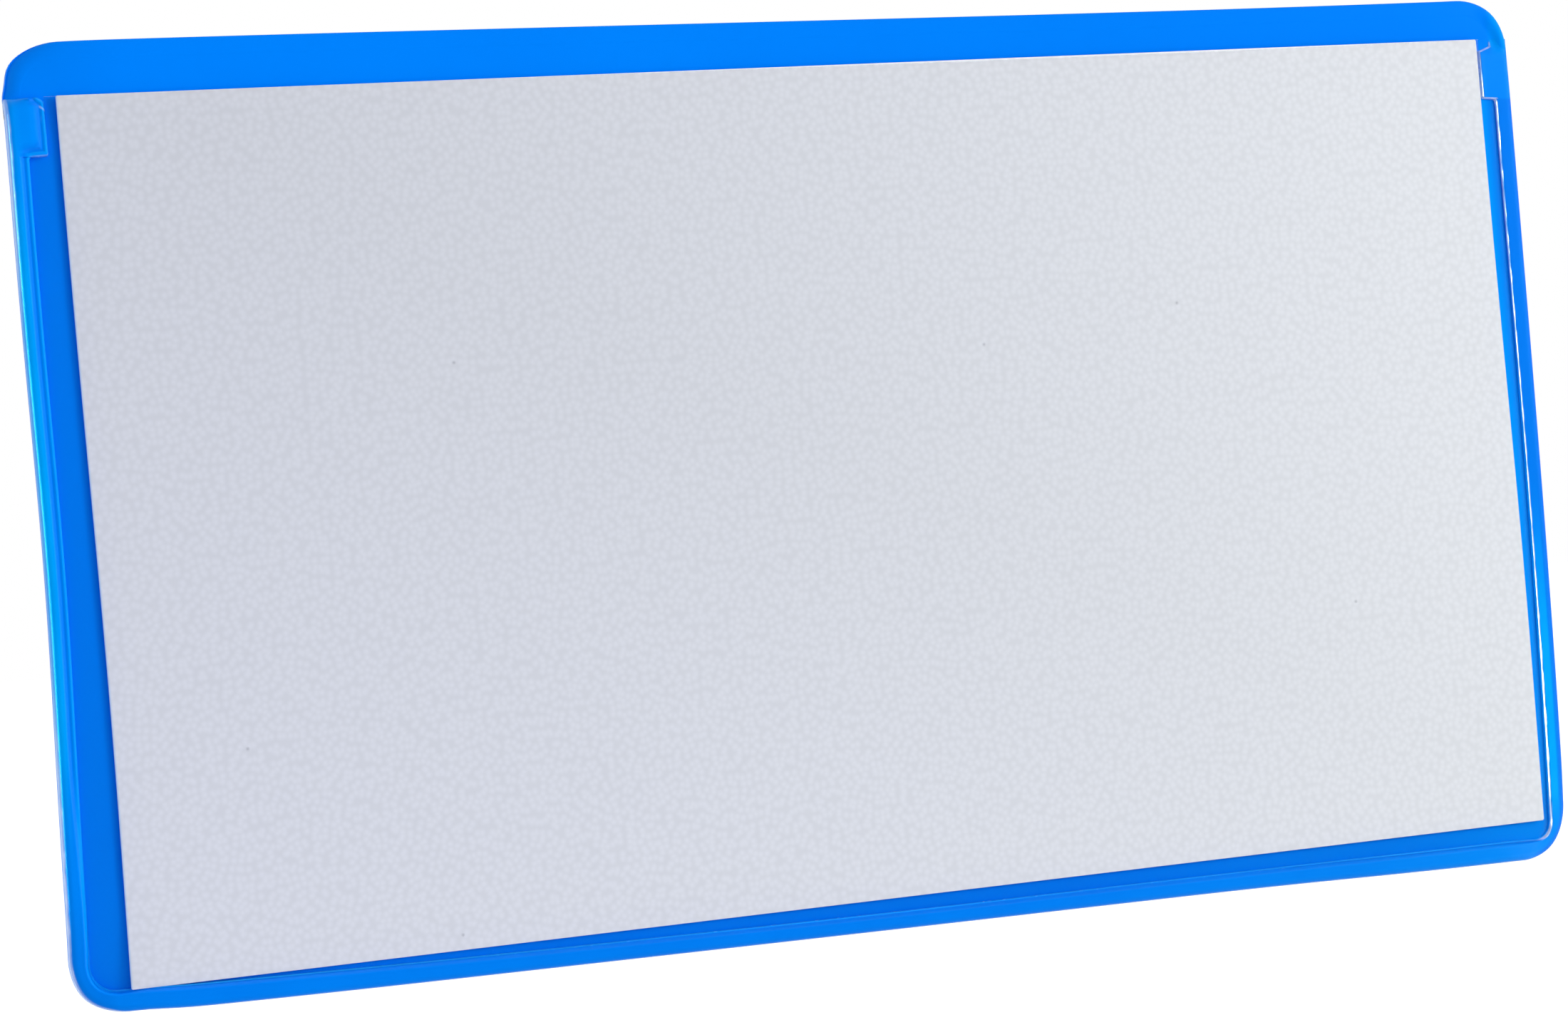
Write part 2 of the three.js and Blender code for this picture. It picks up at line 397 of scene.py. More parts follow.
def make_piece(name, points, faces, material, body, nodes, marks=None):
    """A closed mesh that rides on a body and stands for CAD nodes; marks are named point values."""
    mesh = bpy.data.meshes.new(name)
    mesh.from_pydata([tuple(p) for p in points], [], faces)
    for mark, values in (marks or {}).items():
        layer = mesh.attributes.new(mark, "FLOAT", "POINT")
        layer.data.foreach_set("value", np.asarray(values, np.float32))
    bm = bmesh.new()
    bm.from_mesh(mesh)
    bmesh.ops.remove_doubles(bm, verts=bm.verts, dist=MERGE_DISTANCE)
    bmesh.ops.dissolve_degenerate(bm, edges=bm.edges, dist=MERGE_DISTANCE)
    bmesh.ops.recalc_face_normals(bm, faces=bm.faces)
    bm.to_mesh(mesh)
    bm.free()
    mesh.shade_smooth()
    mesh.set_sharp_from_angle(angle=math.radians(SHARP_ANGLE))
    mesh.materials.append(material)
    piece = show(name, mesh)
    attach(piece, body)
    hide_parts(*nodes)


# Materials

# A noise is its size, detail and roughness; a look is a tone, how unevenly it lies and the size of that
# unevenness; a finish is its range of roughness, and the depth and strength of its relief.

# Painted shade darkens the blue films a little towards the right, and painted light lightens them at the
# lower right
BLUE_PAINTED_SHADE = (1.0, 0.775, 0.79)
BLUE_PAINTED_LIGHT = (1.0, 1.18, 1.0)
BLUE_PAINTED_LIGHT_WAY = (1, 0, -1)
BLUE_PAINTED_LIGHT_RUN = mm(48, 86)
FILM_CLOUD = (18 * MM, 3.0)
FILM_TONES = [(0.3, (0.0, 0.216, 0.96)), (0.7, (0.0, 0.228, 0.985))]
# Painted light laid over the film where it catches light, by a named point value
FILM_PAINTED_LIGHT = ((0.0, 0.34, 1.0), (0.9, 1.1), 5 * MM)
FILM_SHINE = {"Specular IOR Level": 0.08, "Specular Tint": (0.02, 0.4, 1.0, 1.0)}
FILM_GRAIN = (0.35 * MM, 3.0, 0.6)
FILM_FINISH = ((0.32, 0.46), 0.006 * MM, 0.5)
WELD_CLOUD = (7 * MM, 2.0)
WELD_TONES = [(0.3, (0.0, 0.205, 0.9)), (0.7, (0.0, 0.225, 0.94))]
# Looks laid over the weld: painted shade, painted light, and a pale tone that is partly the clear film's cut
# edge and partly painted highlights
WELD_LOOKS = {
    "painted_shade": ((0.0, 0.116, 0.65), (0.8, 1.1), 5 * MM),
    "painted_light": ((0.0, 0.39, 1.0), (0.7, 1.2), 3 * MM),
    "pale": ((0.9, 0.94, 1.0), (0.6, 1.2), 0.8 * MM),
}
WELD_SHINE = {"Specular IOR Level": 0.4, "Specular Tint": (0.01, 0.49, 1.0, 1.0)}
WELD_GLINT = {"From Min": 0.45, "To Max": 0.7}
WELD_WAVE = (1.6 * MM, 2.0)
WELD_FINISH = ((0.16, 0.26), 0.02 * MM, 0.5)
# Clear window film and its cut edge
CLEAR_TINT = (0.95, 0.9545, 0.96, 1.0)
CLEAR_GLOSS = (0.85, 0.93, 1.0, 1.0)
CLEAR_IOR = 1.06
CLEAR_GRAIN = (0.7 * MM, 2.0)
CLEAR_FINISH = ((0.2, 0.32), 0.004 * MM, 0.6)
CUT_SPECKLE = (0.5 * MM, 2.0)
CUT_TONES = [(0.3, (0.7, 0.8, 0.98)), (0.7, (0.86, 0.92, 1.0))]
CUT_SHINE = {"Roughness": 0.3}
# White sheet, with painted light towards its lower left, painted bluish light along its left edge, and a
# little less blue towards the right
PAPER_PEBBLE = 0.5 * MM
PAPER_TONES = [(0.1, (0.783, 0.789, 0.854)), (0.7, (0.724, 0.73, 0.789))]
PAPER_DRIFT = (1.0, 1.0, 0.945)
PAPER_PAINTED_LIGHT = (1.1, 1.1, 1.12)
PAPER_PAINTED_LIGHT_WAY = (-5.45, 0, -10)
PAPER_PAINTED_LIGHT_RUN = (-0.02, 0.54)
PAPER_PAINTED_EDGE_LIGHT = ((0.45, 0.64, 0.98), (0.8, 1.2), 3 * MM)
PAPER_SHINE = {"Specular IOR Level": 0.15}
PAPER_FIBRE = (0.25 * MM, 2.0, 0.6)
PAPER_FINISH = ((0.8, 0.95), 0.01 * MM, 0.4)
SPECK_SPACING = 14 * MM
SPECK_TONES = [(0.005, (0.72, 0.72, 0.74)), (0.01, (1.0, 1.0, 1.0))]
SPECK_LIMIT = 0.7
# Magnets and tape
MAGNET_STRETCH = (0.03, 1.0, 1.0)
MAGNET_LINES = (0.5 * MM, 3.0)
MAGNET_TONES = [(0.3, (0.028, 0.024, 0.022)), (0.75, (0.06, 0.053, 0.05))]
MAGNET_SPECKLE = (0.12 * MM, 2.0)
MAGNET_SPECKLE_TONES = [(0.62, (1.0, 1.0, 1.0)), (0.72, (1.8, 1.75, 1.7))]
MAGNET_FINISH = ((0.5, 0.75), 0.02 * MM, 0.5)
TAPE_FIBRE = (0.8 * MM, 4.0, 0.65)
TAPE_TONES = [(0.3, (0.62, 0.6, 0.53)), (0.7, (0.78, 0.76, 0.69))]
TAPE_FINISH = ((0.35, 0.6), 0.01 * MM, 0.5)


def fill(tree, node, inputs):
    """Sets a node's inputs, each to a constant or to another node's output."""
    for key, value in inputs.items():
        if isinstance(value, bpy.types.NodeSocket):
            tree.links.new(value, node.inputs[key])
        else:
            node.inputs[key].default_value = value


def add(tree, kind, inputs=None, **settings):
    """A node with its settings and inputs."""
    node = tree.nodes.new(kind)
    for key, value in settings.items():
        setattr(node, key, value)
    fill(tree, node, inputs or {})
    return node


def start_material(name, shine=None):
    """A new material with its node tree and its main shader, whose even values are set."""
    material = bpy.data.materials.new(name)
    material.use_nodes = True
    shader = material.node_tree.nodes["Principled BSDF"]
    fill(material.node_tree, shader, shine or {})
    return material, material.node_tree, shader


def frame_place(tree):
    """A point's place in the frame."""
    return add(tree, "ShaderNodeTexCoord").outputs["Object"]


def mark_value(tree, mark):
    """A named point value."""
    return add(tree, "ShaderNodeAttribute", attribute_name=mark).outputs["Fac"]


def noise(tree, size, detail=2.0, roughness=0.5, place=None):
    """Noise whose features are about size metres wide, in the frame's coordinates."""
    inputs = {"Scale": 1 / size, "Detail": detail, "Roughness": roughness}
    inputs["Vector"] = place or frame_place(tree)
    return add(tree, "ShaderNodeTexNoise", inputs).outputs["Fac"]


def ramp(tree, factor, stops):
    """Colours along a factor, as two (place, colour) stops."""
    node = add(tree, "ShaderNodeValToRGB", {"Fac": factor})
    for element, (place, colour) in zip(node.color_ramp.elements, stops):
        element.position = place
        element.color = (*colour, 1.0)
    return node.outputs["Color"]


def span(tree, factor, low, high):
    """A factor of 0 to 1 stretched between two values."""
    inputs = {"Value": factor, "To Min": low, "To Max": high}
    return add(tree, "ShaderNodeMapRange", inputs).outputs["Result"]


def grained(tree, shader, inputs, grain, roughness, relief, strength):
    """A shader's inputs, with its roughness and fine relief from a grain."""
    bumps = {"Strength": strength, "Distance": relief, "Height": grain}
    normal = add(tree, "ShaderNodeBump", bumps).outputs["Normal"]
    rough = span(tree, grain, *roughness)
    fill(tree, shader, {**inputs, "Roughness": rough, "Normal": normal})


def mixed(tree, first, second, factor=1.0, blend="MIX"):
    """A second colour laid over a first one by a factor."""
    inputs = {"Factor": factor, "A": first, "B": second}
    return add(tree, "ShaderNodeMix", inputs, data_type="RGBA", blend_type=blend).outputs["Result"]


def mixed_shader(tree, factor, first, second):
    """Two shaders mixed by a factor."""
    return add(tree, "ShaderNodeMixShader", {"Fac": factor, 1: first, 2: second}).outputs["Shader"]


def drift(tree, colour, tone, way=(1, 0, 0), start=-HALF_WIDTH, end=HALF_WIDTH):
    """A slow change of tone along a direction: nothing at start, the whole tone at end."""
    along = add(tree, "ShaderNodeVectorMath", {0: frame_place(tree), 1: way}, operation="DOT_PRODUCT")
    limits = {"Value": along.outputs["Value"], "From Min": start, "From Max": end}
    share = add(tree, "ShaderNodeMapRange", limits)
    return mixed(tree, colour, (*tone, 1.0), share.outputs["Result"], "MULTIPLY")


def blend_by_mark(tree, colour, mark, tone, spread, size):
    """Mixes a tone over a colour by a named point value, unevenly by noise of a given size."""
    inputs = {0: mark_value(tree, mark), 1: span(tree, noise(tree, size), *spread)}
    share = add(tree, "ShaderNodeMath", inputs, operation="MULTIPLY", use_clamp=True)
    return mixed(tree, colour, (*tone, 1.0), share.outputs["Value"])


def blue_base(tree, cloud, tones):
    """Cloudy blue, with painted shade towards the right and painted light at the lower right."""
    colour = drift(tree, ramp(tree, cloud, tones), BLUE_PAINTED_SHADE)
    return drift(tree, colour, BLUE_PAINTED_LIGHT, BLUE_PAINTED_LIGHT_WAY, *BLUE_PAINTED_LIGHT_RUN)


def blue_film():
    """Soft coloured plastic film: dark blue with a fine matt grain, with painted shade towards the right and
    painted light at the lower right and where the film catches light.
    """
    material, tree, shader = start_material("blue_film", FILM_SHINE)
    colour = blue_base(tree, noise(tree, *FILM_CLOUD), FILM_TONES)
    # Painted light in the gap beside the sheet, at the lower right corner and on the rim at the mouth's
    # right end
    colour = blend_by_mark(tree, colour, "painted_light", *FILM_PAINTED_LIGHT)
    grained(tree, shader, {"Base Color": colour}, noise(tree, *FILM_GRAIN), *FILM_FINISH)
    return material


def blue_weld():
    """Fused rim of both films: glossy blue with the clear film's pale cut edges, painted highlights, painted
    light on its beads and crowns, and painted shade in its groove and on its sides.
    """
    material, tree, shader = start_material("blue_weld", WELD_SHINE)
    colour = blue_base(tree, noise(tree, *WELD_CLOUD), WELD_TONES)
    for mark, look in WELD_LOOKS.items():
        colour = blend_by_mark(tree, colour, mark, *look)
    # Metallic where the pale tone is strong, so that the painted highlight lines mirror the white
    # surroundings
    glint = add(tree, "ShaderNodeMapRange", {"Value": mark_value(tree, "pale"), **WELD_GLINT})
    inputs = {"Base Color": colour, "Metallic": glint.outputs["Result"]}
    grained(tree, shader, inputs, noise(tree, *WELD_WAVE), *WELD_FINISH)
    return material


def clear_film():
    """Clear soft window film with a faint pebbled grain, paler along its cut edge."""
    material, tree, shader = start_material("clear_film", CUT_SHINE)
    see_through = add(tree, "ShaderNodeBsdfTransparent", {"Color": CLEAR_TINT}).outputs["BSDF"]
    gloss = add(tree, "ShaderNodeBsdfGlossy")
    grained(tree, gloss, {"Color": CLEAR_GLOSS}, noise(tree, *CLEAR_GRAIN), *CLEAR_FINISH)
    fresnel = add(tree, "ShaderNodeFresnel", {"IOR": CLEAR_IOR}).outputs["Fac"]
    body = mixed_shader(tree, fresnel, see_through, gloss.outputs["BSDF"])
    fill(tree, shader, {"Base Color": ramp(tree, noise(tree, *CUT_SPECKLE), CUT_TONES)})
    whole = mixed_shader(tree, mark_value(tree, "cut_edge"), body, shader.outputs["BSDF"])
    fill(tree, tree.nodes["Material Output"], {"Surface": whole})
    return material


def flat_cells(tree, size):
    """A pattern of cells about size metres wide over the frame's x and z."""
    parts = add(tree, "ShaderNodeSeparateXYZ", {"Vector": frame_place(tree)}).outputs
    flat = add(tree, "ShaderNodeCombineXYZ", {"X": parts["X"], "Y": parts["Z"]}).outputs["Vector"]
    return add(tree, "ShaderNodeTexVoronoi", {"Vector": flat, "Scale": 1 / size}, voronoi_dimensions="2D")


def white_paper():
    """Plain white card with a pebbled tone, a few fine specks, painted light towards its lower left and
    painted bluish light along its left edge.
    """
    material, tree, shader = start_material("white_paper", PAPER_SHINE)
    pebbles, specks = flat_cells(tree, PAPER_PEBBLE), flat_cells(tree, SPECK_SPACING)
    tone = drift(tree, ramp(tree, pebbles.outputs["Distance"], PAPER_TONES), PAPER_DRIFT)
    # Painted light towards the lower left, and painted bluish light along the left edge
    tone = drift(tree, tone, PAPER_PAINTED_LIGHT, PAPER_PAINTED_LIGHT_WAY, *PAPER_PAINTED_LIGHT_RUN)
    tone = blend_by_mark(tree, tone, "rim", *PAPER_PAINTED_EDGE_LIGHT)
    dots = ramp(tree, specks.outputs["Distance"], SPECK_TONES)
    chosen = add(tree, "ShaderNodeSeparateColor", {"Color": specks.outputs["Color"]})
    few = add(tree, "ShaderNodeMath", {0: chosen.outputs["Red"], 1: SPECK_LIMIT}, operation="GREATER_THAN")
    tone = mixed(tree, tone, dots, few.outputs["Value"], "MULTIPLY")
    grained(tree, shader, {"Base Color": tone}, noise(tree, *PAPER_FIBRE), *PAPER_FINISH)
    return material


def magnet_rubber():
    """Flexible magnet: dark brownish grey with fine lengthwise lines and mineral speckle."""
    material, tree, shader = start_material("magnet_rubber")
    stretch = add(tree, "ShaderNodeMapping", {"Vector": frame_place(tree), "Scale": MAGNET_STRETCH})
    lines = noise(tree, *MAGNET_LINES, place=stretch.outputs["Vector"])
    tone = ramp(tree, lines, MAGNET_TONES)
    speckle = ramp(tree, noise(tree, *MAGNET_SPECKLE), MAGNET_SPECKLE_TONES)
    tone = mixed(tree, tone, speckle, blend="MULTIPLY")
    grained(tree, shader, {"Base Color": tone}, lines, *MAGNET_FINISH)
    return material


def tape_tissue():
    """Double-sided tape: milky tissue with a fibrous tone."""
    material, tree, shader = start_material("tape_tissue")
    fibre = noise(tree, *TAPE_FIBRE)
    grained(tree, shader, {"Base Color": ramp(tree, fibre, TAPE_TONES)}, fibre, *TAPE_FINISH)
    return material


# Panel

# Light in the gap between the sheet and the right seam, at the lower right corner and on the rim at the
# mouth's right end
GAP_LIGHT_START = 1.3 * MM
GAP_LIGHT_WIDER = 0.7 * MM
GAP_LIGHT_FULL = 2.9 * MM
GAP_LIGHT_END = mm(3, 4)
GAP_LIGHT_TOP = mm(-2, 0)
GAP_LIGHT_FOOT = mm(2, 5)
GAP_LIGHT_FRONT = 0.2 * MM
CORNER_LIGHT = 0.2
CORNER_LIGHT_SIDE = mm(44, 54)
CORNER_LIGHT_TOP = mm(3, 5)
RIM_LIGHT = 0.35
RIM_LIGHT_SIDE = mm(1.1, 1.7)
RIM_LIGHT_BAND = mm(-0.2, 1.6, 1.2)
# Depths below the middle between which the right side changes, at its middle and low down
MID_RIGHT = mm(-20, 5)
LOW_RIGHT = mm(8, 24)


def shoulder(outer_gap):
    """Share of a bead's height towards the outline: a gentle fall and a tight round edge."""
    fall = 1 - SHOULDER_FALL * (1 - np.clip(outer_gap / SHOULDER_WIDTH, 0, 1)) ** 2
    return fall * (EDGE_BASE + (1 - EDGE_BASE) * quarter_round(outer_gap / EDGE_ROUND))


def lip_drop(x):
    """How far the bare border bends back, most at the left."""
    return LIP_DROP_LEFT + (LIP_DROP - LIP_DROP_LEFT) * smooth(*LIP_DROP_RUN, x + HALF_WIDTH)


def panel_depth(x, z, inset, side):
    """Depth of the panel film: a rounded lip on the bare strip, thin where it is welded."""
    over = z - mouth_height(x)
    bare = smooth(*BARE_RUN, over)
    if side > 0:
        ease = REAR_EASE_WELDED + (REAR_EASE_BARE - REAR_EASE_WELDED) * bare
        return PANEL_REAR - round_over(inset, REAR_EASE_WIDTH, ease)
    line = LIP_LINE_DEPTH * bell(inset, LIP_WIDTH, LIP_LINE_REACH)
    bead = smooth(*RUN_OUT_START, over) * (1 - smooth(0, RUN_OUT_LENGTH, over))
    bead = bead * smooth(*RUN_OUT_SIDE, x)
    hump = RUN_OUT_RISE * (1 - smooth(RUN_OUT_CREST, LIP_WIDTH, inset)) * shoulder(inset)
    lip = (round_over(inset, LIP_WIDTH, lip_drop(x)) + line) * bare * (1 - bead)
    return PANEL_FRONT + lip - hump * bead


def panel_painted_light(points):
    """Share of painted light on the film."""
    x, y, z = points.T
    gap = HALF_WIDTH - x
    rise = z + HALF_HEIGHT
    start = GAP_LIGHT_START - GAP_LIGHT_WIDER * smooth(*MID_RIGHT, -z)
    light = smooth(start, GAP_LIGHT_FULL, gap) * (1 - smooth(*GAP_LIGHT_END, gap))
    light = light * (y < PANEL_REAR - GAP_LIGHT_FRONT) * (1 - smooth(*GAP_LIGHT_TOP, z - MOUTH[1]))
    light = light * smooth(*GAP_LIGHT_FOOT, rise)
    corner = smooth(*CORNER_LIGHT_SIDE, x) * (1 - smooth(*CORNER_LIGHT_TOP, rise))
    rim = (1 - smooth(*RIM_LIGHT_SIDE, gap)) * band(z - MOUTH[1], *RIM_LIGHT_BAND)
    return highest(light, CORNER_LIGHT * corner, RIM_LIGHT * rim)


def build_panel(material):
    """The back panel's film, with painted light where it catches light."""
    rings = PANEL_REAR_RINGS, PANEL_FRONT_RINGS
    points, faces = slab(HALF_WIDTH, HALF_HEIGHT, CORNER_RADIUS, PANEL_CELLS, *rings, panel_depth)
    marks = {"painted_light": panel_painted_light(points)}
    make_piece("panel_film", soften(points), faces, material, "pocket", ["back_panel"], marks)


# Seam


def seam_width(z, side, cut=True):
    """Width of the seam beside the pocket: wider at the tab, round at its foot and cut at its top."""
    radius = TAB_FOOT_RADIUS[side]
    rise = (z - (MOUTH[side] - TAB_HEIGHT[side])) / radius
    tab = radius * (1 - quarter_round(-rise) + quarter_round(rise))
    tab = tab + (TAB_REACH[side] - 2 * radius) * (1 + np.sign(rise)) / 2
    across, down, run = TAB_CUT[side]
    near_end = np.clip((z - (MOUTH[side] - down)) / run, 0, 1)
    return SEAM_WIDTH + tab - across * cut * near_end


def side_rows(side):
    """Heights of the seam's stations on one side, from the mouth down, close where the shape turns."""
    end = MOUTH[side]
    foot = end - TAB_HEIGHT[side]
    low = CORNER_RADIUS - HALF_HEIGHT
    rest = np.arange(low + CLEAR_OF_CORNER, end - CLEAR_OF_MOUTH, PLAIN_ROW_STEP)
    rest = rest[np.abs(rest - foot) > CLEAR_OF_FOOT]
    return np.sort(np.concatenate([end - MOUTH_ROWS, foot + FOOT_ROWS, rest]))[::-1]


def seam_spread(x):
    """Extra width of the bottom seam, wider towards both corners."""
    ends = 1 - smooth(*SPREAD_LEFT, x) + smooth(*SPREAD_RIGHT, x)
    return SEAM_SPREAD * ends - SEAM_PINCH * bell(x, 0, PINCH_REACH)


def seam_path():
    """Outer and inner points (x, z) of the seam's stations, from the left end of the mouth to the right."""
    outer, inner = [], []
    inner_half = np.array([HALF_WIDTH - SEAM_WIDTH, HALF_HEIGHT - SEAM_WIDTH])
    for z in side_rows(-1):
        outer.append((-HALF_WIDTH, z))
        inner.append((seam_width(z, -1) - HALF_WIDTH, z))
    for side, start in ((-1, 180), (1, 270)):
        out_centre = np.array([side * (HALF_WIDTH - CORNER_RADIUS), CORNER_RADIUS - HALF_HEIGHT])
        in_centre = np.array([side, -1]) * (inner_half - INNER_RADIUS[side])
        in_centre[1] += seam_spread(in_centre[0])
        for angle in np.radians(np.linspace(start, start + 90, 2 * ARC_STEPS + 1)):
            way = np.array([math.cos(angle), math.sin(angle)])
            outer.append(tuple(out_centre + CORNER_RADIUS * way))
            inner.append(tuple(in_centre + INNER_RADIUS[side] * way))
        if side < 0:
            for x in BOTTOM_ROWS:
                outer.append((x, -HALF_HEIGHT))
                inner.append((x, seam_spread(x) - inner_half[1]))
    for z in side_rows(1)[::-1]:
        outer.append((HALF_WIDTH, z))
        inner.append((HALF_WIDTH - seam_width(z, 1), z))
    return np.array(outer), np.array(inner)


def gap_to_line(points, line):
    """Distance from each (x, z) point to a polyline."""
    best = np.full(len(points), np.inf)
    for a, b in zip(line[:-1], line[1:]):
        run = b - a
        share = np.clip(((points - a) @ run) / (run @ run), 0, 1)
        best = np.minimum(best, np.hypot(*(points - a - share[:, None] * run).T))
    return best


def gap_to_rim(points):
    """Distance from each (x, z) point to the panel's rounded outline."""
    over = np.abs(points) - np.array([HALF_WIDTH - CORNER_RADIUS, HALF_HEIGHT - CORNER_RADIUS])
    past = np.hypot(*np.maximum(over, 0).T) + np.minimum(over.max(1), 0)
    return np.maximum(CORNER_RADIUS - past, 0)


def seam_height(x, z, inner_gap, outer_gap, end_gap):
    """Height of the weld over the panel: inner step, ridge and groove at the left, bead and shoulder."""
    left, right = sides(x, *SIDE_SHAPE)
    groove = GROOVE_BASE * (1 - right) + GROOVE_LEFT * left * smooth(*GROOVE_RUN, z)
    step = STEP_RISE + (STEP_RISE_RIGHT - STEP_RISE) * right
    step = step * quarter_round(inner_gap / STEP_WIDTH)
    ridge = RIDGE_RISE * bell(inner_gap, RIDGE_PLACE, RIDGE_REACH) * groove
    size = BEAD_SIZE_RIGHT + BEAD_GROWTH_RIGHT * smooth(*LOW_RIGHT, -z)
    run = BEAD_RUN + (BEAD_RUN_RIGHT * size - BEAD_RUN) * right
    start, end = BEAD_START * groove, BEAD_END * groove + run * (1 - groove)
    bead = BEAD_RISE + (BEAD_RISE_RIGHT * size - BEAD_RISE) * right
    bead = bead * smooth(start, end, inner_gap)
    outside = smooth(*MOUTH_OUTSIDE, inner_gap)
    share = MOUTH_CUT_SHARE * (1 - outside)
    cut_width = MOUTH_CUT_WIDTH * (1 + MOUTH_CUT_GROWTH * outside)
    cut = share + (1 - share) * quarter_round(end_gap / cut_width)
    share = FADE_BASE + FADE_CREST * (1 - smooth(RUN_OUT_CREST, LIP_WIDTH, outer_gap))
    fade = share + (1 - share) * smooth(0, FADE_LENGTH, end_gap)
    return (step + ridge + bead) * shoulder(outer_gap) * (cut + (fade - cut) * right)


# Tones along the seam. A band is its start, its end and its soft border; a table is a base value and what
# each named share of seam_place adds to it, with widths in millimetres.
# Nearly all of these are painted light and shade: painted highlights, painted light on beads and crowns,
# painted shade in grooves and on sides; the pale film edge is partly the clear film's own cut edge.
SIDE_MARK = mm(2.2, 3.6)
ARC_RIGHT = mm(1.6, 3.2)
CREST_RIGHT = mm(19, 23)
TAB_BLEND = 0.1 * MM
LOWER_TAB = (0.35, 0.75)
SLOW_WAVE = (17 * MM, 3)
QUICK_WAVE = (2.6 * MM, 4)
# Pale film edge outside the left bead, partly the clear film's own cut edge and partly a painted highlight
EDGE_UPPER = mm(13, 22)
EDGE_LOWER = mm(-20, -8)
EDGE_SWELL = mm(26, 2.5)
EDGE_WIDTH = {"base": 0.05, "upper": 0.08, "swell": 0.06, "lower": 0.03, "slow": 0.02}
EDGE_PALE = {"base": 0.0, "upper": 0.88, "lower": 0.9, "left": 0.03}
EDGE_INSIDE = 0.3
EDGE_INSIDE_START = 0.8
EDGE_LINE = {"base": 0.6, "quick": 0.5}
EDGE_LINE_REACH = 0.04 * MM
EDGE_LINE_PALE = 0.65
EDGE_RIM = mm(0.02, 0.06)
# Painted highlight: a white line on the right inner flank, from the step's wall outward, and painted light
# on the step's wall
FLANK_START = {"base": 0.03, "mid": 0.07}
FLANK_WIDTH = {"base": 0.05, "low": 0.02, "arc": 0.06, "crest": 0.02, "quick": 0.02}
FLANK_PALE = {"base": 0.6, "low": 0.05, "arc": 0.24, "crest": 0.14, "quick": 0.12}
FLANK_SOFT = 0.03 * MM
FLANK_FOOT = mm(1.42, 1.72)
WALL_START = 0.6
WALL_BRIGHT = 0.9
# Tabs: a painted highlight line at the right, painted light spots, a painted light foot line, painted light
# on the flat and the right tab's top, and painted shade at the left
TAB_LINE = mm(0, 0.1, 0.04)
TAB_LINE_PALE = {"base": 0.42, "lower_tab": 0.45, "quick": 0.3}
TAB_LINE_TOP = mm(0.1, 0.35)
TAB_LINE_FOOT = 0.5
TAB_LINE_FOOT_REACH = 0.1 * MM
SPOT_WAVE = (0.9 * MM, 8)
SPOT_SLANT = 1.3
SPOT_CLIP = (0.2, 0.7)
SPOT_PLACE = mm(0.5, 0.5)
SPOT_BAND = mm(0, 0.35, 0.1)
SPOT_PALE = 0.4
FOOT_LINE = mm(0, 0.08, 0.05)
FOOT_LINE_REACH = 0.16 * MM
FOOT_LINE_START = mm(1.5, 1.8)
FOOT_LINE_PALE = 0.25
FOOT_LINE_BRIGHT = 0.7
TAB_FLAT = mm(0.7, 1)
TAB_FLAT_BRIGHT = 0.14
TAB_TOP = mm(0, 1.5)
TAB_TOP_BRIGHT = 0.05
TAB_SHADE = mm(0.4, 0.8, 0.15)
TAB_SHADE_DEEP = 0.35
# Painted highlights in a thin line and on the rim along the bottom, and painted shade over the bottom seam
THIN_LINE = mm(0, 0.06, 0.06)
THIN_LINE_PALE = 0.02
THIN_LINE_BRIGHT = 0.85
BOTTOM_RIM = mm(0.02, 0.07)
BOTTOM_RIM_PALE = 0.12
BOTTOM_DEEP = 0.15
# Painted light on the left bead and ridge, painted shade in the groove and at the lower left
BEAD_LOWER = mm(-24, -12)
BEAD_UPPER = mm(16, 24)
BEAD_UPPER_FADE = 0.6
BEAD_CROWN = mm(0.5, 0.8)
BEAD_BRIGHT = {"base": 0.85, "slow": 0.15}
RIDGE_BAND = mm(0.08, 0.3, 0.1)
RIDGE_BRIGHT = 0.35
GROOVE_BAND = mm(0.42, 0.56, 0.12)
GROOVE_DEEP = 0.2
LEFT_FOOT = mm(-30, -22)
LEFT_FOOT_DEEP = 0.3
# Painted light on the right crown and run-out, painted shade on the outer side and over the upper right
CROWN_BAND = mm(0.3, 0.75, 0.2)
CROWN_LOWER = mm(2, 18)
CROWN_FOOT = mm(1.5, 5.5)
CROWN_BRIGHT = 0.65
RUN_OUT_BAND = mm(0.35, 1.2, 0.3)
RUN_OUT_FADE = mm(0.3, 1.7)
RUN_OUT_BRIGHT = 0.3
OUTER_SIDE = mm(0.15, 0.6)
OUTER_SIDE_DEEP = 0.8
RIGHT_DEEP = 0.45


def weighted(table, at):
    """A table's base value plus what each of its named shares adds."""
    named = (weight * getattr(at, name) for name, weight in table.items() if name != "base")
    return sum(named, table["base"])


